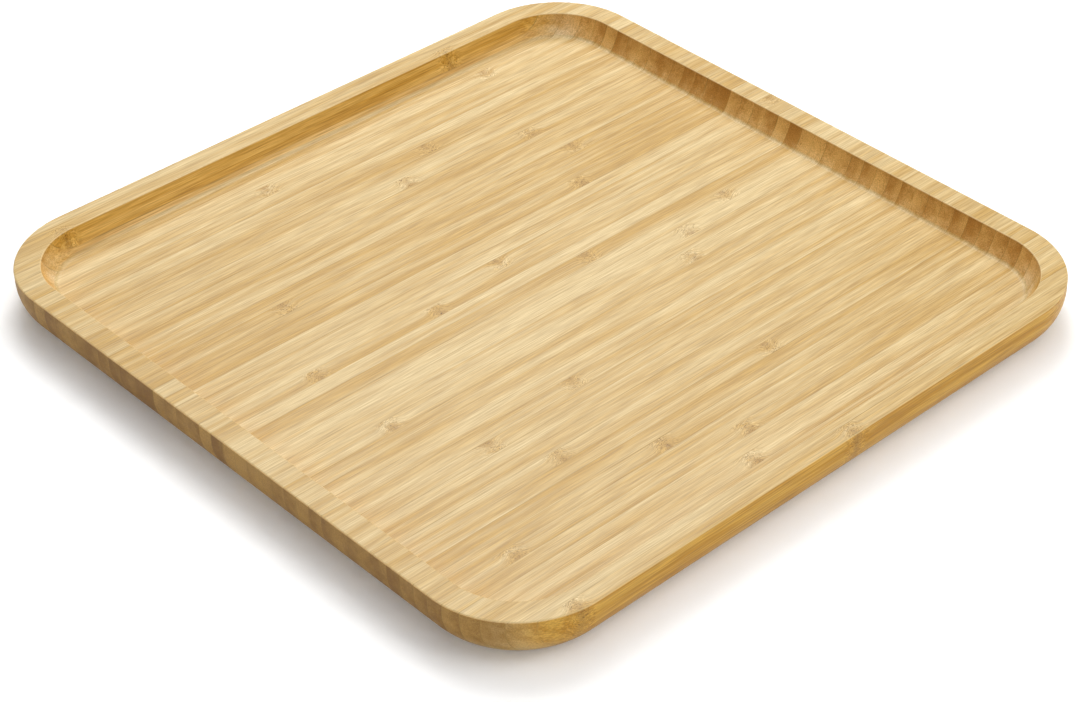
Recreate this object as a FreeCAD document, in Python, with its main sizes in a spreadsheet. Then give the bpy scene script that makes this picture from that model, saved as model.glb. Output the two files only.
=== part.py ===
"""Square serving tray milled from a panel of bamboo strips glued side by side.

The strips stand on edge and run along X. They are glued face to face into one
thick panel, and the panel is then milled as a whole: a rounded square outline,
a shallow well with sloping sides, and an underside that curves in to a smaller
base, so that fingers can get under the edge. Each strip keeps its own piece of
that milled shape, and each is a sub-part.

Frame: millimetres, +Z up, the origin at the centre of the base, +X along the
strips, -Y towards the front.
"""
import FreeCAD, Part
import math
import os
import Sketcher

SIZES = {
    "TraySide": 330,         # outside width and depth
    "TrayHeight": 20,        # base to rim
    "CornerRadius": 42,      # outside corners, seen from above
    "UndersideRadius": 20,   # curve under the edge
    "UndersideRise": 15.5,   # height at which that curve meets the upright edge band
    "RimWidth": 11,          # flat top of the rim
    "WellDepth": 10,         # rim to floor
    "WellDraft": 14,         # degrees that the well's sides lean from upright at the top
    "WellFootDraft": 36,     # degrees that they lean at the foot
    "WellWaist": 4.5,        # depth at which those two slopes would meet
    "WaistInset": "=RimWidth + WellWaist * tan(WellDraft * 1deg)",    # and how far in from the side
    "WellHollow": 20,        # hollow curve that joins the two slopes
    "WellCove": 3,           # smaller hollow curve where the sides meet the floor
    "EdgeRounding": 0.6,     # both top edges of the rim
    "StripWidth": 7.35,      # one strip, measured across the grain
}
LEVEL_TOLERANCE = 1e-4       # two heights closer than this are the same level
VOLUME_TOLERANCE = 1e-4      # share of the volume that rounding may lose

document = FreeCAD.newDocument("ServingTray")


def make_sheet():
    """The driving dimensions, one row each, with the name as the cell's alias."""
    sheet = document.addObject("Spreadsheet::Sheet", "Sizes")
    for row, (name, value) in enumerate(SIZES.items(), start=1):
        sheet.set(f"A{row}", name)
        sheet.set(f"B{row}", str(value))
        sheet.setAlias(f"B{row}", name)
    document.recompute()
    return sheet


def origin_plane(body, role):
    """One of a body's own origin planes."""
    return next(item for item in body.Origin.OriginFeatures if item.Role == role)


def rounded_square_sketch(body, name, level, side, radius):
    """A closed rounded square centred on the Z axis; level, side and radius are expressions."""
    sketch = body.newObject("Sketcher::SketchObject", name)
    sketch.AttachmentSupport = [(origin_plane(body, "XY_Plane"), "")]
    sketch.MapMode = "FlatFace"
    sketch.setExpression("AttachmentOffset.Base.z", level)

    half = float(sheet.evalExpression(side)) / 2
    corner = float(sheet.evalExpression(radius))
    straight = half - corner
    lines = []
    arcs = []
    for quarter in range(4):
        turn = FreeCAD.Rotation(FreeCAD.Vector(0, 0, 1), 90 * quarter)
        start = turn.multVec(FreeCAD.Vector(half, -straight, 0))
        end = turn.multVec(FreeCAD.Vector(half, straight, 0))
        lines.append(sketch.addGeometry(Part.LineSegment(start, end)))
        centre = turn.multVec(FreeCAD.Vector(straight, straight, 0))
        circle = Part.Circle(centre, FreeCAD.Vector(0, 0, 1), corner)
        first = math.radians(90 * quarter)
        arcs.append(sketch.addGeometry(Part.ArcOfCircle(circle, first, first + math.pi / 2)))

    START, END, CENTRE, ORIGIN = 1, 2, 3, -1
    for quarter in range(4):
        line = lines[quarter]
        arc = arcs[quarter]
        next_line = lines[(quarter + 1) % 4]
        sketch.addConstraint(Sketcher.Constraint("Tangent", line, END, arc, START))
        sketch.addConstraint(Sketcher.Constraint("Tangent", arc, END, next_line, START))
        upright = quarter % 2 == 0
        sketch.addConstraint(Sketcher.Constraint("Vertical" if upright else "Horizontal", line))
        if quarter > 0:
            sketch.addConstraint(Sketcher.Constraint("Equal", arcs[0], arc))
    sketch.addConstraint(Sketcher.Constraint("Equal", lines[0], lines[1]))
    sketch.addConstraint(Sketcher.Constraint("Symmetric", arcs[0], CENTRE, arcs[2], CENTRE, ORIGIN, START))
    width = sketch.addConstraint(Sketcher.Constraint("DistanceX", lines[2], START, lines[0], START, 2 * half))
    sketch.renameConstraint(width, "Side")
    sketch.setExpression("Constraints.Side", side)
    bend = sketch.addConstraint(Sketcher.Constraint("Radius", arcs[0], corner))
    sketch.renameConstraint(bend, "Radius")
    sketch.setExpression("Constraints.Radius", radius)
    document.recompute()
    return sketch


def edges_at_level(feature, level):
    """Names of a feature's edges that lie wholly at one height."""
    names = []
    for number, edge in enumerate(feature.Shape.Edges, start=1):
        box = edge.BoundBox
        if abs(box.ZMin - level) < LEVEL_TOLERANCE and abs(box.ZMax - level) < LEVEL_TOLERANCE:
            names.append(f"Edge{number}")
    return names


def add_fillet(body, name, base, level, radius):
    """Round the edges of the base feature that lie at one height."""
    fillet = body.newObject("PartDesign::Fillet", name)
    fillet.Base = (base, edges_at_level(base, level))
    fillet.setExpression("Radius", radius)
    document.recompute()
    return fillet


def add_pocket(body, name, base, level, inset, depth, draft):
    """Cut a rounded square with sloping sides down from one height; inset is its edge, in from the tray's."""
    outline = rounded_square_sketch(
        body, name + "Outline", level,
        f"Sizes.TraySide - 2 * ({inset})", f"Sizes.CornerRadius - {inset}")
    pocket = body.newObject("PartDesign::Pocket", name)
    pocket.Profile = outline
    pocket.setExpression("Length", depth)
    pocket.setExpression("TaperAngle", f"-{draft}")
    document.recompute()
    if pocket.Shape.Volume >= base.Shape.Volume:
        raise RuntimeError(f"{name} cut nothing")
    return pocket


def make_tray_form():
    """The milled shape of the whole tray, left untrimmed below the base."""
    body = document.addObject("PartDesign::Body", "TrayForm")

    outline = rounded_square_sketch(
        body, "Outline", "Sizes.UndersideRise - Sizes.UndersideRadius",
        "Sizes.TraySide", "Sizes.CornerRadius")
    block = body.newObject("PartDesign::Pad", "Block")
    block.Profile = outline
    block.setExpression("Length", "Sizes.TrayHeight - Sizes.UndersideRise + Sizes.UndersideRadius")
    document.recompute()
    underside = add_fillet(
        body, "Underside", block, sheet.UndersideRise - sheet.UndersideRadius, "Sizes.UndersideRadius")

    mouth = add_pocket(
        body, "WellMouth", underside, "Sizes.TrayHeight", "Sizes.RimWidth",
        "Sizes.WellWaist", "Sizes.WellDraft")
    foot = add_pocket(
        body, "WellFoot", mouth, "Sizes.TrayHeight - Sizes.WellWaist", "Sizes.WaistInset",
        "Sizes.WellDepth - Sizes.WellWaist", "Sizes.WellFootDraft")
    hollow = add_fillet(body, "Hollow", foot, sheet.TrayHeight - sheet.WellWaist, "Sizes.WellHollow")
    cove = add_fillet(body, "Cove", hollow, sheet.TrayHeight - sheet.WellDepth, "Sizes.WellCove")
    add_fillet(body, "RimEdges", cove, sheet.TrayHeight, "Sizes.EdgeRounding")
    return body


def strip_name(index, half_count, edge_strips):
    """Name of the strip that lies index strips behind the middle one."""
    from_front = index + half_count + 1
    from_back = half_count - index + 1
    if from_front <= edge_strips:
        return f"front_rim_strip_{from_front}"
    if from_back <= edge_strips:
        return f"back_rim_strip_{from_back}"
    return f"floor_strip_{from_front - edge_strips:02d}"


def make_strips(form):
    """The strips, front to back, each one cut out of the milled form."""
    half_side = sheet.TraySide / 2
    half_count = math.ceil((half_side - sheet.StripWidth / 2) / sheet.StripWidth)
    well_edge = half_side - sheet.RimWidth
    edge_strips = sum(
        1 for index in range(half_count + 1) if (index + 0.5) * sheet.StripWidth > well_edge)
    strips = []
    for index in range(-half_count, half_count + 1):
        name = strip_name(index, half_count, edge_strips)
        blank = document.addObject("Part::Box", "blank_of_" + name)
        blank.setExpression("Length", "Sizes.TraySide")
        blank.setExpression("Width", "Sizes.StripWidth")
        blank.setExpression("Height", "Sizes.TrayHeight")
        blank.setExpression("Placement.Base.x", "-Sizes.TraySide / 2")
        blank.setExpression("Placement.Base.y", f"({index} - 0.5) * Sizes.StripWidth")
        strip = document.addObject("Part::Common", name)
        strip.Base = blank
        strip.Tool = form
        strip.Label = name
        strips.append(strip)
    document.recompute()
    return strips


def check(strips, form):
    """Stop if a feature failed, a strip isn't one sound solid, or the strips don't fill the tray."""
    for item in document.Objects:
        if "Invalid" in item.State or "Error" in item.State:
            raise RuntimeError(f"{item.Label} failed: {item.State}")
    for strip in strips:
        if strip.Shape.isNull() or not strip.Shape.isValid() or len(strip.Shape.Solids) != 1:
            raise RuntimeError(f"{strip.Label} is not one valid solid")
    panel = Part.makeBox(
        sheet.TraySide, sheet.TraySide, sheet.TrayHeight,
        FreeCAD.Vector(-sheet.TraySide / 2, -sheet.TraySide / 2, 0))
    whole = form.Shape.common(panel).Volume
    together = sum(strip.Shape.Volume for strip in strips)
    if abs(whole - together) > VOLUME_TOLERANCE * whole:
        raise RuntimeError(f"the strips hold {together:.0f} mm3 of the tray's {whole:.0f}")


sheet = make_sheet()
tray_form = make_tray_form()
strips = make_strips(tray_form)
check(strips, tray_form)
os.makedirs("parts", exist_ok=True)
for strip in strips:
    strip.Shape.exportStep(f"parts/{strip.Label}.step")
print(len(strips), "strips,", round(sum(strip.Shape.Volume for strip in strips)), "mm3")
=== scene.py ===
"""The visual model of the bamboo serving tray, built round its CAD frame.

Every strip of the glued panel is its own piece. Each is cut from one smooth
model of the milled tray, along the glue faces that the CAD nodes give, and all
of them share one bamboo material, which reads what differs from strip to strip
(tone, skin side, knuckles) from the piece's own mesh attributes.

Metres, +Z up, +X along the strips, -Y towards the front.
"""

import math
import random
from types import SimpleNamespace

import bmesh
import bpy
from mathutils import Matrix, Vector


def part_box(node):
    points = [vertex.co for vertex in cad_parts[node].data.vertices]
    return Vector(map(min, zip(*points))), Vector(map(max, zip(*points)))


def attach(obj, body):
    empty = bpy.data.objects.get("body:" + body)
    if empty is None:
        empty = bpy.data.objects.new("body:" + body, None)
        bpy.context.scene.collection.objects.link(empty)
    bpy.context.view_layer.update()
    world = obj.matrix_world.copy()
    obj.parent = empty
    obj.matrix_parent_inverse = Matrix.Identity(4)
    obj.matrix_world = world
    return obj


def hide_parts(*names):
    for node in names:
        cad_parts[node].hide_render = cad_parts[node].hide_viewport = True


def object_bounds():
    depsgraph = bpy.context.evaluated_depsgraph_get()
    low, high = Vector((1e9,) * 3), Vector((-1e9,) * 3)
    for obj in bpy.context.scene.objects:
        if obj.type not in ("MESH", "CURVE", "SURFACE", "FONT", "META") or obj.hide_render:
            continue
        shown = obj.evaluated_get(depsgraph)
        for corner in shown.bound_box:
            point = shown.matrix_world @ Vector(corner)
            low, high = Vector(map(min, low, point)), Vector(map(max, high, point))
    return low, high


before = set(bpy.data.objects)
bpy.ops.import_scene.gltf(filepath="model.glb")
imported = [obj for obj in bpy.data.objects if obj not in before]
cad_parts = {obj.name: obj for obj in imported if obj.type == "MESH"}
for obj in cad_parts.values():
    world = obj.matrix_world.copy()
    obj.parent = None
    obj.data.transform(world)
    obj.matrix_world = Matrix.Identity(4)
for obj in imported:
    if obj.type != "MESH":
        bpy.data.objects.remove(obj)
cad_low, cad_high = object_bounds()

MM = 0.001

# The milled form. The outside size comes from the CAD box, the rest are the CAD's own values.
TRAY_HEIGHT = cad_high.z - cad_low.z
HALF_SIDE = (cad_high.x - cad_low.x) / 2
CORNER_RADIUS = 42 * MM
UNDERSIDE_RADIUS = 20 * MM
UNDERSIDE_RISE = 15.5 * MM          # height at which the curve under the edge ends
RIM_WIDTH = 11 * MM
WELL_DEPTH = 10 * MM
WELL_DRAFT = math.radians(14)       # from upright, at the top of the well's sides
WELL_FOOT_DRAFT = math.radians(36)  # and at their foot
WELL_WAIST = 4.5 * MM               # depth at which the two slopes would meet
WELL_HOLLOW = 20 * MM               # radius of the hollow curve that joins the two slopes
WELL_COVE = 3 * MM                  # and of the one at their foot
EDGE_ROUNDING = 0.6 * MM

# ---------------------------------------------------------------- camera

CAMERA_AZIMUTH = math.radians(-44.09)
CAMERA_ELEVATION = math.radians(36.99)
CAMERA_ROLL = math.radians(0.20)
CAMERA_DISTANCE = 1.0884
CAMERA_RIGHT = 0.0347       # the camera stands this far right of the rim's middle, in the picture
CAMERA_UP = -0.0360         # and this far above it
LENS = 88.45
LENS_SHIFT = -0.0781        # the photo is cropped off centre
NEAR_CLIP = 0.05
FAR_CLIP = 50


def make_camera():
    """Looks along the photo's line of sight, past the middle of the rim."""
    rim_middle = Vector(((cad_low.x + cad_high.x) / 2, (cad_low.y + cad_high.y) / 2, cad_high.z))
    level = math.cos(CAMERA_ELEVATION)
    back = Vector((
        math.sin(CAMERA_AZIMUTH) * level,
        -math.cos(CAMERA_AZIMUTH) * level,
        math.sin(CAMERA_ELEVATION),
    ))
    right = Vector((math.cos(CAMERA_AZIMUTH), math.sin(CAMERA_AZIMUTH), 0))
    up = back.cross(right)

    data = bpy.data.cameras.new("camera")
    data.lens = LENS
    data.shift_x = LENS_SHIFT
    data.clip_start = NEAR_CLIP
    data.clip_end = FAR_CLIP
    camera = bpy.data.objects.new("camera", data)
    turned = Matrix((right, up, back)).transposed() @ Matrix.Rotation(CAMERA_ROLL, 3, "Z")
    camera.matrix_world = Matrix.Translation(
        rim_middle + back * CAMERA_DISTANCE + right * CAMERA_RIGHT + up * CAMERA_UP
    ) @ turned.to_4x4()
    bpy.context.scene.collection.objects.link(camera)
    bpy.context.scene.camera = camera


make_camera()

# ---------------------------------------------------------------- shader nodes

MIX_FACTOR, MIX_FIRST, MIX_SECOND, MIX_RESULT = 0, 6, 7, 2      # the Mix node's colour sockets
NOISE_MIDDLE = 0.5
NOISE_ROUGHNESS = 0.55


class Shader:
    """One node material, with short ways to add nodes and sums to it."""

    def __init__(self, name):
        self.material = bpy.data.materials.new(name)
        self.material.use_nodes = True
        self.tree = self.material.node_tree
        self.tree.nodes.clear()

    def feed(self, socket, value):
        """Links a socket, or sets its constant."""
        if isinstance(value, bpy.types.NodeSocket):
            self.tree.links.new(value, socket)
        else:
            socket.default_value = value

    def node(self, kind, settings=None, **inputs):
        """A new node: settings are its own properties, inputs its sockets (with _ for a space)."""
        made = self.tree.nodes.new("ShaderNode" + kind)
        for name, value in (settings or {}).items():
            setattr(made, name, value)
        for name, value in inputs.items():
            self.feed(made.inputs[name.replace("_", " ")], value)
        return made

    def math(self, operation, *values):
        """One arithmetic step."""
        made = self.node("Math", {"operation": operation})
        for socket, value in zip(made.inputs, values):
            self.feed(socket, value)
        return made.outputs[0]

    def add(self, first, *others):
        """The sum of several values."""
        for other in others:
            first = self.math("ADD", first, other)
        return first

    def times(self, first, *others):
        """The product of several values."""
        for other in others:
            first = self.math("MULTIPLY", first, other)
        return first

    def weigh(self, start, weights, values):
        """start, plus each value that weights names, times its weight."""
        return self.add(start, *(
            self.times(getattr(values, name), weight) for name, weight in weights.items()))

    def ramp(self, value, start, end, low=0.0, high=1.0):
        """A smooth step from low at start to high at end."""
        made = self.node("MapRange", {"interpolation_type": "SMOOTHSTEP"}, Value=value,
                         From_Min=start, From_Max=end, To_Min=low, To_Max=high)
        return made.outputs["Result"]

    def blend(self, factor, first, second, way="MIX"):
        """Mixes two colours."""
        made = self.node("Mix", {"data_type": "RGBA", "blend_type": way})
        self.feed(made.inputs[MIX_FACTOR], factor)
        self.feed(made.inputs[MIX_FIRST], first)
        self.feed(made.inputs[MIX_SECOND], second)
        return made.outputs[MIX_RESULT]

    def hump(self, distance, width):
        """1 where distance is 0, falling smoothly to 0 past width."""
        share = self.math("DIVIDE", distance, width)
        return self.math("EXPONENT", self.times(share, share, -1))

    def attribute(self, name):
        """A number that the piece's mesh carries."""
        return self.node("Attribute", {"attribute_name": name}).outputs["Fac"]

    def drawn_out(self, place, size):
        """place (x, y, z) counted in cells of this size: (along X, across it)."""
        x, y, z = place
        along, across = size
        cells = self.node("CombineXYZ", X=self.times(x, 1 / along), Y=self.times(y, 1 / across),
                          Z=self.times(z, 1 / across))
        return cells.outputs[0]

    def noise(self, place, size, detail=2.0):
        """Noise about 0, drawn out along X."""
        made = self.node("TexNoise", Vector=self.drawn_out(place, size), Scale=1.0, Detail=detail,
                         Roughness=NOISE_ROUGHNESS)
        return self.math("SUBTRACT", made.outputs["Fac"], NOISE_MIDDLE)

    def finish(self, surface):
        """Connects the surface's shader, and gives the material."""
        output = self.node("OutputMaterial")
        self.feed(output.inputs["Surface"], surface.outputs[0])
        return self.material


def grey(value):
    """A grey with full alpha."""
    return (value, value, value, 1)


# ---------------------------------------------------------------- floor and lights

FLOOR_SIZE = 12
FLOOR_CELLS = 24
FLOOR_ALBEDO = 0.92
FLOOR_UNEVENNESS = 0.01       # how far the albedo wanders to each side
FLOOR_BLOTCH_SCALE = 3.0      # noise cells in a metre
FLOOR_BLOTCH_DETAIL = 3.0
FLOOR_ROUGHNESS = 0.9
FLOOR_GLOW = 0.10             # a light table, lit faintly from below
FLOOR_SCATTER = 15 * MM       # how far light spreads inside its milky top
WORLD_STRENGTH = 0.15


def floor_white():
    """A matt milky white, with a faint unevenness."""
    s = Shader("floor_white")
    place = s.node("TexCoord").outputs["Object"]
    blotches = s.node("TexNoise", Vector=place, Scale=FLOOR_BLOTCH_SCALE, Detail=FLOOR_BLOTCH_DETAIL)
    colour = s.blend(blotches.outputs["Fac"], grey(FLOOR_ALBEDO - FLOOR_UNEVENNESS),
                     grey(FLOOR_ALBEDO + FLOOR_UNEVENNESS))
    surface = s.node("BsdfPrincipled", {"subsurface_method": "BURLEY"}, Base_Color=colour,
                     Roughness=FLOOR_ROUGHNESS)
    surface.inputs["Specular IOR Level"].default_value = 0.0
    surface.inputs["Subsurface Weight"].default_value = 1.0
    surface.inputs["Subsurface Radius"].default_value = (1, 1, 1)
    surface.inputs["Subsurface Scale"].default_value = FLOOR_SCATTER
    surface.inputs["Emission Color"].default_value = grey(1.0)
    surface.inputs["Emission Strength"].default_value = FLOOR_GLOW
    return s.finish(surface)


def make_floor():
    """A plain white floor under the tray."""
    bm = bmesh.new()
    bmesh.ops.create_grid(bm, x_segments=FLOOR_CELLS, y_segments=FLOOR_CELLS, size=FLOOR_SIZE / 2)
    bmesh.ops.translate(bm, verts=bm.verts, vec=(0, 0, cad_low.z))
    mesh = bpy.data.meshes.new("floor")
    bm.to_mesh(mesh)
    bm.free()
    mesh.materials.append(floor_white())
    floor = bpy.data.objects.new("floor", mesh)
    bpy.context.scene.collection.objects.link(floor)


def make_world():
    """An even, dim white surround."""
    world = bpy.data.worlds.new("studio")
    world.use_nodes = True
    background = world.node_tree.nodes["Background"]
    background.inputs["Color"].default_value = grey(1.0)
    background.inputs["Strength"].default_value = WORLD_STRENGTH
    bpy.context.scene.world = world


def make_softbox(name, azimuth, elevation, distance, size, power):
    """A square soft light aimed at the tray; azimuth 0 stands in front and 90 at +X, in degrees."""
    data = bpy.data.lights.new(name, "AREA")
    data.shape = "SQUARE"
    data.size = size
    data.energy = power
    light = bpy.data.objects.new(name, data)
    a = math.radians(azimuth)
    e = math.radians(elevation)
    back = Vector((math.sin(a) * math.cos(e), -math.cos(a) * math.cos(e), math.sin(e)))
    light.location = back * distance
    light.rotation_mode = "QUATERNION"
    light.rotation_quaternion = (-back).to_track_quat("-Z", "Y")
    bpy.context.scene.collection.objects.link(light)


make_floor()
make_world()
make_softbox("back_right", azimuth=142, elevation=50, distance=1.8, size=1.0, power=28)
make_softbox("front_right", azimuth=38, elevation=45, distance=1.8, size=1.1, power=12.5)
make_softbox("overhead", azimuth=0, elevation=88, distance=2.0, size=1.4, power=12)
make_softbox("front_left_fill", azimuth=-45, elevation=20, distance=1.8, size=1.0, power=6.4)
bpy.context.scene.view_settings.view_transform = "Standard"

# ---------------------------------------------------------------- the milled form

# Faces along each round part of the section, and round each outside corner.
EDGE_STEPS = 4
COVE_STEPS = 8
HOLLOW_STEPS = 10
UNDERSIDE_STEPS = 16
CORNER_STEPS = 24


def arc(start, normal, turn, radius, steps):
    """(point, normal) along a round part of the section; a turn below 0 makes it hollow."""
    side = math.copysign(radius, turn)
    centre = start - normal * side
    for step in range(steps + 1):
        turned = normal @ Matrix.Rotation(-turn * step / steps, 2)
        yield centre + turned * side, turned


def rounded_corner(before, corner, after, radius, steps):
    """(point, normal) along the arc that rounds a corner of the section; normals point into the air."""
    arriving = (corner - before).normalized()
    leaving = (after - corner).normalized()
    turn = math.atan2(arriving.cross(leaving), arriving.dot(leaving))
    start = corner - arriving * radius * math.tan(abs(turn) / 2)
    return arc(start, Vector((arriving.y, -arriving.x)), turn, radius, steps)


def section():
    """The milled section, from the well's floor over the rim to the base, as (point, normal).

    A point is (inset, z), with inset measured in from the tray's side.
    """
    floor_z = TRAY_HEIGHT - WELL_DEPTH
    waist = Vector((RIM_WIDTH + WELL_WAIST * math.tan(WELL_DRAFT), TRAY_HEIGHT - WELL_WAIST))
    foot = Vector((waist.x + (waist.y - floor_z) * math.tan(WELL_FOOT_DRAFT), floor_z))
    on_the_floor = foot + Vector((WELL_DEPTH, 0))
    rim_inside = Vector((RIM_WIDTH, TRAY_HEIGHT))
    rim_outside = Vector((0, TRAY_HEIGHT))
    edge_end = Vector((0, UNDERSIDE_RISE))
    return [
        *rounded_corner(on_the_floor, foot, waist, WELL_COVE, COVE_STEPS),
        *rounded_corner(foot, waist, rim_inside, WELL_HOLLOW, HOLLOW_STEPS),
        *rounded_corner(waist, rim_inside, rim_outside, EDGE_ROUNDING, EDGE_STEPS),
        *rounded_corner(rim_inside, rim_outside, edge_end, EDGE_ROUNDING, EDGE_STEPS),
        *arc(edge_end, Vector((-1, 0)), math.asin(UNDERSIDE_RISE / UNDERSIDE_RADIUS),
             UNDERSIDE_RADIUS, UNDERSIDE_STEPS),
    ]


def ring_directions():
    """(corner centre, direction) for every point round the tray, anticlockwise from above."""
    middle = HALF_SIDE - CORNER_RADIUS
    for quarter in range(4):
        start = quarter * math.pi / 2
        centre = Vector((
            middle * (1 if quarter in (0, 3) else -1),
            middle * (1 if quarter in (0, 1) else -1),
            0,
        ))
        for step in range(CORNER_STEPS + 1):
            angle = start + step / CORNER_STEPS * math.pi / 2
            yield centre, Vector((math.cos(angle), math.sin(angle), 0))


def milled_tray():
    """The whole tray as one closed bmesh, with the true surface normal kept on each vertex.

    Faces marked flat (the base here, glue faces later) are shaded with their own normal.
    """
    bm = bmesh.new()
    normal_layer = bm.verts.layers.float_vector.new("surface_normal")
    flat_layer = bm.faces.layers.int.new("flat")
    rings = []
    for point, normal in section():
        height = Vector((0, 0, point.y))
        ring = []
        for centre, direction in ring_directions():
            vert = bm.verts.new(centre + direction * (CORNER_RADIUS - point.x) + height)
            vert[normal_layer] = direction * -normal.x + Vector((0, 0, normal.y))
            ring.append(vert)
        rings.append(ring)
    for upper, lower in zip(rings, rings[1:]):
        for index in range(len(upper)):
            after = (index + 1) % len(upper)
            bm.faces.new((upper[index], lower[index], lower[after], upper[after]))
    bm.faces.new(rings[0])
    base = bm.faces.new(rings[-1][::-1])
    base[flat_layer] = 1
    bmesh.ops.translate(bm, verts=bm.verts, vec=(0, 0, cad_low.z))
    return bm


def cut_strip(whole, back_y, front_y):
    """A closed copy of the part of the tray between two glue faces."""
    bm = whole.copy()
    flat_layer = bm.faces.layers.int["flat"]
    for level, outward in ((front_y, -1), (back_y, 1)):
        if abs(level) > HALF_SIDE - EDGE_ROUNDING:
            continue        # the outermost strips end at the tray's own face
        cut = bmesh.ops.bisect_plane(
            bm,
            geom=[*bm.verts, *bm.edges, *bm.faces],
            plane_co=(0, level, 0),
            plane_no=(0, outward, 0),
            clear_outer=True,
        )
        open_edges = [e for e in cut["geom_cut"] if isinstance(e, bmesh.types.BMEdge)]
        filled = bmesh.ops.edgeloop_fill(bm, edges=open_edges)
        for face in filled["faces"]:
            face[flat_layer] = 1
    bmesh.ops.recalc_face_normals(bm, faces=bm.faces)
    return bm


def finish_mesh(bm, name):
    """A smooth-shaded mesh with the milled surface's own normals."""
    normal_layer = bm.verts.layers.float_vector["surface_normal"]
    flat_layer = bm.faces.layers.int["flat"]
    bm.normal_update()
    normals = []
    for face in bm.faces:
        face.smooth = True
        for loop in face.loops:
            milled_normal = loop.vert[normal_layer].normalized()
            normals.append(face.normal.copy() if face[flat_layer] else milled_normal)
    bm.verts.layers.float_vector.remove(normal_layer)
    bm.faces.layers.int.remove(flat_layer)
    mesh = bpy.data.meshes.new(name)
    bm.to_mesh(mesh)
    bm.free()
    mesh.normals_split_custom_set(normals)
    return mesh


# ---------------------------------------------------------------- bamboo

# Colours. The palest and deepest of each kind of surface were fitted to the photo under these lights.
BAMBOO_PALE = (0.585, 0.436, 0.208, 1)      # the strips' edges: rim, floor and base
BAMBOO_GOLDEN = (0.455, 0.274, 0.068, 1)
FACE_PALE = (0.590, 0.332, 0.045, 1)        # the strips' wide faces, seen on the long sides
FACE_DEEP = (0.425, 0.200, 0.011, 1)
END_PALE = (0.405, 0.228, 0.052, 1)         # cut ends of the strips
END_DEEP = (0.222, 0.104, 0.015, 1)
SLANT_PALE = (0.620, 0.355, 0.084, 1)       # ends cut on a slant, down the sides of the well: paler than the upright ends, partly for the oblique cut of the grain and partly as painted light
SLANT_DEEP = (0.385, 0.172, 0.025, 1)
WELL_PAINTED_LIGHT = (1.22, 1.24, 1.50, 1)           # painted light: multiplies the colour of all four sides of the well, brightening them, most in blue
BUNDLE_BROWN = (0.250, 0.130, 0.035, 1)
KNUCKLE_BROWN = (0.290, 0.150, 0.030, 1)
GLUE_BROWN = (0.290, 0.180, 0.046, 1)
# painted highlight: the pale colour laid along the rim's rounded edges
PAINTED_EDGE_HIGHLIGHT = (0.740, 0.560, 0.280, 1)

# Each range below is where a ramp starts and where it ends.

# Kinds of surface, told from the normal's parts.
SQUARE_ON = (0.50, 0.92)            # how squarely end grain faces X, and a wide face Y
TURNS_UP = (0.05, 0.30)             # Z from which a surface counts as facing up
LEAVES_WELL_SIDE = (0.80, 0.60)     # Z at which the well's sides give way to cove and floor
WIDE_FACE_IN_WELL = 0.82            # how much of the wide faces' colour the well's sides keep

# Patterns in the grain: the size of their cells along the strip and across it.
FINE_FIBRES = (14 * MM, 0.45 * MM)
SHORT_FIBRES = (1.7 * MM, 0.42 * MM)
STREAKS = (55 * MM, 0.9 * MM)
PATCHES = (75 * MM, 3.6 * MM)
BUNDLES = (26 * MM, 0.8 * MM)
CURLS = (4 * MM, 2.0 * MM)
GLUE_STRETCHES = (40 * MM, 8 * MM)

# How much each pattern deepens a colour.
EDGE_DEPTH = {"tone": 1.0, "across": 0.45, "patches": 2.1, "streaks": 0.4, "near_knuckle": 0.35}
EDGE_DEPTH_RANGE = (-0.25, 1.25)
FACE_DEPTH = {"patches": 1.2, "streaks": 1.8}
FACE_DEPTH_RANGE = (-0.3, 0.3)
END_DEPTH = {"tone": 1.6, "across": 0.55, "patches": 1.2, "streaks": 0.8}
END_DEPTH_RANGE = (0.0, 1.6)

# Knuckles, the rings of a bamboo stem.
KNUCKLE_NAMES = ("knuckle_1", "knuckle_2")
NO_KNUCKLE = 9.0                    # metres: too far away to show
KNUCKLE_REACH = 4.2 * MM            # how far along the strip its fibres are bent
SCAR_REACH = 2.2 * MM
CHEVRON_BEND = 2.4 * MM
CURL_BEND = 5 * MM                  # how far a curl moves the fibres across the strip
CURL_LIFT = 8 * MM                  # and up or down
SCAR_PATTERN = {"short": 1.0, "across": 0.20}
SCAR_RANGE = (0.05, 0.13)
SCAR_STRENGTH = 0.75

# Fibre bundles, fewest at a strip's inner side and most at its skin side.
BUNDLE_RANDOMNESS = 0.9
BUNDLE_RADIUS = (0.38, 0.18)
BUNDLE_PLACES = {"across": 1.0, "streaks": 1.6}
BUNDLE_PLACES_RANGE = (-0.4, 0.7)
BUNDLE_SHARE = (0.06, 0.75)         # fewest and most
BUNDLE_STRENGTH = (0.40, 0.65)      # as hairlines, and as dots on end grain

# Light and dark fibres. The powers make a dark fibre warmer than a light one.
FIBRE_CONTRAST = {"fine": 1.05, "streaks": 0.25, "lively": 2.9}
FIBRE_GREEN_POWER = 1.2
FIBRE_BLUE_POWER = 1.7

# The painted highlight along the rim's rounded edges: where it lies, how far the edges still face up,
# and how pale it is.
EDGE_HIGHLIGHT_HEIGHT = (TRAY_HEIGHT - EDGE_ROUNDING, TRAY_HEIGHT - EDGE_ROUNDING / 3)
EDGE_HIGHLIGHT_FACING = (0.99, 0.90)
EDGE_HIGHLIGHT_STRENGTH = 0.55

# Glue lines: how near the strip's side they show, and how they come and go along it.
GLUE_WIDTH = (0.036, 0.008)         # as a share of the strip's width
GLUE_RANGE = (-0.06, 0.14)
GLUE_STRENGTH = (0.08, 0.80)        # faintest and darkest

# The lacquered surface.
LACQUER_ROUGHNESS = 0.46
ROUGHER = {"fine": 0.25, "streaks": 0.15, "end_grain": 0.14, "glue": 0.1}
RAISED = {"fine": 1.0, "streaks": 0.5, "bundles": -0.8, "glue": -0.8}
RELIEF_STRENGTH = 0.25
RELIEF_HEIGHT = 0.05 * MM


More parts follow.
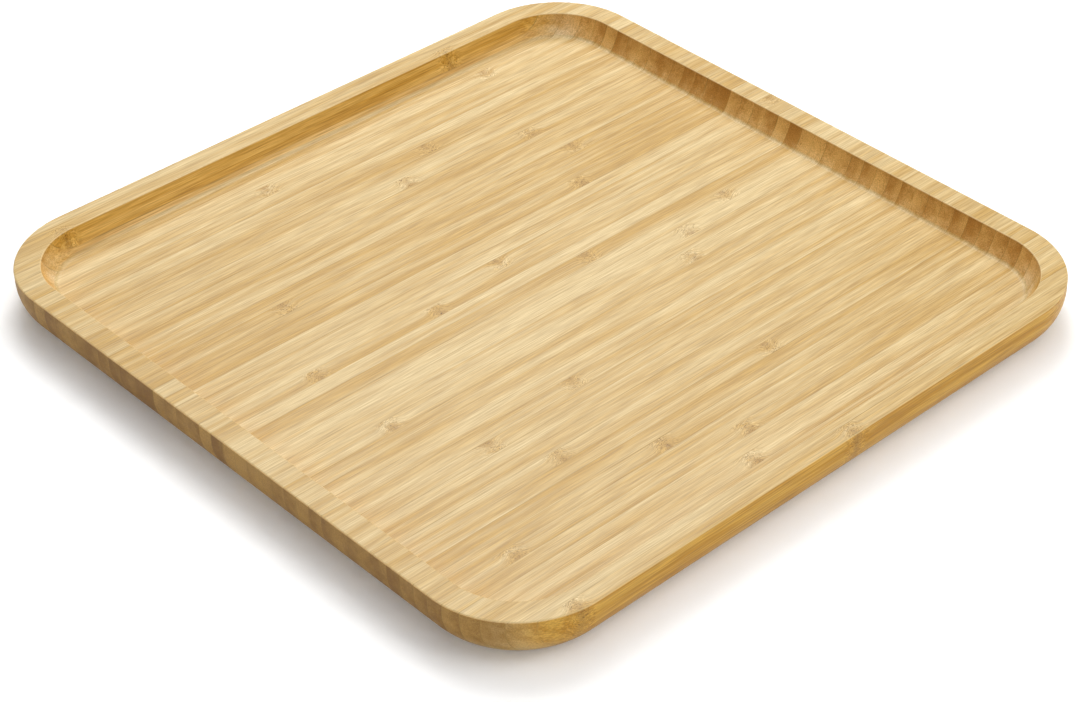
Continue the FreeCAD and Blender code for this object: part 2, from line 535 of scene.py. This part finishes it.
def kinds_of_surface(s, normal):
    """How far each point is end grain, wide face, facing up, or a side of the well, from 0 to 1."""
    facing_x, facing_y, facing_z = s.node("SeparateXYZ", Vector=normal).outputs
    faces_up = s.ramp(facing_z, *TURNS_UP)
    wide_face = s.ramp(s.math("ABSOLUTE", facing_y), *SQUARE_ON)
    return {
        "end_grain": s.ramp(s.math("ABSOLUTE", facing_x), *SQUARE_ON),
        "wide_face": s.times(wide_face, s.ramp(faces_up, 0, 1, 1, WIDE_FACE_IN_WELL)),
        "faces_up": faces_up,
        "well_side": s.times(faces_up, s.ramp(facing_z, *LEAVES_WELL_SIDE)),
        "facing_z": facing_z,
    }


def near_knuckles(s, x, reach):
    """1 at a strip's knuckles, fading to 0 past their reach."""
    humps = 0.0
    for name in KNUCKLE_NAMES:
        humps = s.add(humps, s.hump(s.math("SUBTRACT", x, s.attribute(name)), reach))
    return humps


def grain(s, place):
    """The patterns in a strip, by name; place is the point in object coordinates."""
    x, y, z = s.node("SeparateXYZ", Vector=place).outputs
    moved_x = s.add(x, s.attribute("shift"))
    skin_side = s.attribute("skin_side")

    # Near a knuckle the fibres bend into a chevron, and curl.
    near_knuckle = near_knuckles(s, x, KNUCKLE_REACH)
    curl = s.noise((moved_x, y, z), CURLS, detail=1.0)
    bend = s.times(near_knuckle, s.add(s.times(skin_side, CHEVRON_BEND), s.times(curl, CURL_BEND)))
    lift = s.times(near_knuckle, curl, CURL_LIFT)
    fibre_place = (moved_x, s.add(y, bend), s.add(z, lift))
    short = s.noise(fibre_place, SHORT_FIBRES, detail=1.0)

    return {
        "z": z,
        "tone": s.attribute("tone"),
        # from -0.5 at the strip's soft inner side to 0.5 at its dense skin side
        "across": s.times(s.math("SUBTRACT", y, s.attribute("middle")), skin_side, 1 / STRIP_WIDTH),
        "fine": s.noise(fibre_place, FINE_FIBRES),
        "streaks": s.noise(fibre_place, STREAKS),
        "patches": s.noise(fibre_place, PATCHES, detail=1.0),
        "short": short,
        "lively": s.times(near_knuckle, short),
        "near_knuckle": near_knuckle,
        "at_scar": near_knuckles(s, x, SCAR_REACH),
        "bundle_cells": s.drawn_out(fibre_place, BUNDLES),
        "glue_stretches": s.noise((moved_x, y, z), GLUE_STRETCHES),
    }


def fibre_bundles(s, wood):
    """Where the dark bundles are: hairlines along the grain, dots on cut ends."""
    voronoi = s.node("TexVoronoi", {"feature": "F1"}, Vector=wood.bundle_cells, Scale=1.0,
                     Randomness=BUNDLE_RANDOMNESS)
    bundle = s.ramp(voronoi.outputs["Distance"], *BUNDLE_RADIUS)
    share = s.ramp(s.weigh(0.0, BUNDLE_PLACES, wood), *BUNDLE_PLACES_RANGE, *BUNDLE_SHARE)
    return s.times(bundle, share, s.ramp(wood.end_grain, 0, 1, *BUNDLE_STRENGTH))


def glue_lines(s, wood):
    """Where glue shows between two strips, darker in places."""
    to_side = s.math("SUBTRACT", 0.5, s.math("ABSOLUTE", wood.across))
    strength = s.ramp(wood.glue_stretches, *GLUE_RANGE, *GLUE_STRENGTH)
    return s.times(s.ramp(to_side, *GLUE_WIDTH), strength)


def plain_colour(s, wood):
    """The strips' colour in long drawn-out patches, by kind of surface, with painted light on the sides
    of the well.
    """
    edge_depth = s.ramp(s.weigh(0.0, EDGE_DEPTH, wood), *EDGE_DEPTH_RANGE)
    face_depth = s.ramp(s.weigh(0.0, FACE_DEPTH, wood), *FACE_DEPTH_RANGE)
    end_depth = s.ramp(s.weigh(0.0, END_DEPTH, wood), *END_DEPTH_RANGE)
    colour = s.blend(edge_depth, BAMBOO_PALE, BAMBOO_GOLDEN)
    colour = s.blend(wood.wide_face, colour, s.blend(face_depth, FACE_PALE, FACE_DEEP))
    upright_end = s.blend(end_depth, END_PALE, END_DEEP)
    # The slanted ends are paler partly for their oblique cut and partly as painted light.
    slanted_end = s.blend(end_depth, SLANT_PALE, SLANT_DEEP)
    colour = s.blend(wood.end_grain, colour, s.blend(wood.faces_up, upright_end, slanted_end))
    # Painted light: the sides of the well are brightened, most in blue.
    return s.blend(wood.well_side, colour, WELL_PAINTED_LIGHT, "MULTIPLY")


def with_fibres(s, colour, wood):
    """The colour with fine light and dark fibres, short and lively round a knuckle."""
    fibres = s.weigh(1.0, FIBRE_CONTRAST, wood)
    tint = s.node("CombineColor", Red=fibres, Green=s.math("POWER", fibres, FIBRE_GREEN_POWER),
                  Blue=s.math("POWER", fibres, FIBRE_BLUE_POWER))
    return s.blend(1.0, colour, tint.outputs[0], "MULTIPLY")


def with_knuckle_scars(s, colour, wood):
    """The colour with a knuckle's broken brown marks across the strip."""
    marks = s.ramp(s.weigh(0.0, SCAR_PATTERN, wood), *SCAR_RANGE)
    return s.blend(s.times(wood.at_scar, marks, SCAR_STRENGTH), colour, KNUCKLE_BROWN)


def with_painted_edge_highlight(s, colour, wood):
    """The colour with a painted pale highlight along the rim's rounded edges."""
    edge = s.times(s.ramp(wood.z, *EDGE_HIGHLIGHT_HEIGHT), s.ramp(wood.facing_z, *EDGE_HIGHLIGHT_FACING))
    return s.blend(s.times(edge, EDGE_HIGHLIGHT_STRENGTH), colour, PAINTED_EDGE_HIGHLIGHT)


def bamboo():
    """Bamboo strips on edge under a satin lacquer."""
    s = Shader("bamboo")
    where = s.node("TexCoord")
    wood = SimpleNamespace(
        **kinds_of_surface(s, where.outputs["Normal"]),
        **grain(s, where.outputs["Object"]),
    )
    wood.bundles = fibre_bundles(s, wood)
    wood.glue = glue_lines(s, wood)

    colour = plain_colour(s, wood)
    colour = s.blend(wood.bundles, colour, BUNDLE_BROWN)
    colour = with_fibres(s, colour, wood)
    colour = with_knuckle_scars(s, colour, wood)
    # a painted highlight along the rim's rounded edges
    colour = with_painted_edge_highlight(s, colour, wood)
    colour = s.blend(wood.glue, colour, GLUE_BROWN)

    roughness = s.weigh(LACQUER_ROUGHNESS, ROUGHER, wood)
    relief = s.node("Bump", Strength=RELIEF_STRENGTH, Distance=RELIEF_HEIGHT,
                    Height=s.weigh(0.0, RAISED, wood))
    surface = s.node("BsdfPrincipled", Base_Color=colour, Roughness=roughness,
                     Normal=relief.outputs[0])
    surface.inputs["IOR"].default_value = 1.45
    surface.inputs["Specular IOR Level"].default_value = 0.25
    surface.inputs["Coat Weight"].default_value = 0.15
    surface.inputs["Coat Roughness"].default_value = 0.50
    return s.finish(surface)


# ---------------------------------------------------------------- the strips

# Strips are counted from the front, 0 to 44. Tone runs from 0, pale, to 1, golden.
STRIP_TONES = {
    5: 0.65, 8: 0.75, 9: 0.6, 15: 0.25, 18: 0.3, 19: 0.3, 20: 0.0, 21: 0.15, 22: 0.85, 23: 0.15,
    28: 1.0, 29: 0.8, 30: 0.75, 31: 0.75, 33: 0.65, 37: 0.7, 38: 0.3, 40: 0.3, 41: 0.15,
}
USUAL_TONES = (0.38, 0.60)      # every other strip's tone lies between these
# Where each strip's knuckles lie along it, in millimetres from the middle.
STRIP_KNUCKLES = {
    0: (11, -131), 3: (-19,), 5: (-7,), 6: (-121,), 7: (-37,), 9: (36,), 10: (-71,), 13: (-86,),
    14: (-36,), 18: (59, -105), 20: (71,), 21: (102,), 22: (27,), 24: (-43, -106), 25: (-3, 162),
    28: (64,), 30: (-87,), 31: (81,), 34: (75,), 35: (9,), 37: (33,), 40: (-39,), 41: (94,),
    43: (83, -128),
}
SHIFTS = (2, 30)                # metres: moves each strip to its own stretch of the patterns
SEED = 7

nodes_by_depth = sorted(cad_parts, key=lambda name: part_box(name)[0].y)
middle_low, middle_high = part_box(nodes_by_depth[len(nodes_by_depth) // 2])
STRIP_WIDTH = middle_high.y - middle_low.y


def strip_look(number, seeded):
    """What sets one strip apart from the next, as mesh attributes."""
    knuckles = [along * MM for along in STRIP_KNUCKLES.get(number, ())]
    knuckles += [NO_KNUCKLE] * (len(KNUCKLE_NAMES) - len(knuckles))
    usual_tone = seeded.uniform(*USUAL_TONES)
    return {
        "middle": (number - len(nodes_by_depth) // 2) * STRIP_WIDTH,
        "tone": STRIP_TONES.get(number, usual_tone),
        "shift": seeded.uniform(*SHIFTS),
        "skin_side": seeded.choice((-1, 1)),
        **dict(zip(KNUCKLE_NAMES, knuckles)),
    }


def make_strips():
    """One piece for each CAD node."""
    material = bamboo()
    whole = milled_tray()
    seeded = random.Random(SEED)
    for number, node in enumerate(nodes_by_depth):
        low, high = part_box(node)
        mesh = finish_mesh(cut_strip(whole, high.y, low.y), node + "_wood")
        mesh.materials.append(material)
        for name, value in strip_look(number, seeded).items():
            attribute = mesh.attributes.new(name, "FLOAT", "POINT")
            attribute.data.foreach_set("value", [value] * len(mesh.vertices))
        piece = bpy.data.objects.new(node + "_wood", mesh)
        bpy.context.scene.collection.objects.link(piece)
        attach(piece, "root")
        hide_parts(node)
    whole.free()


make_strips()
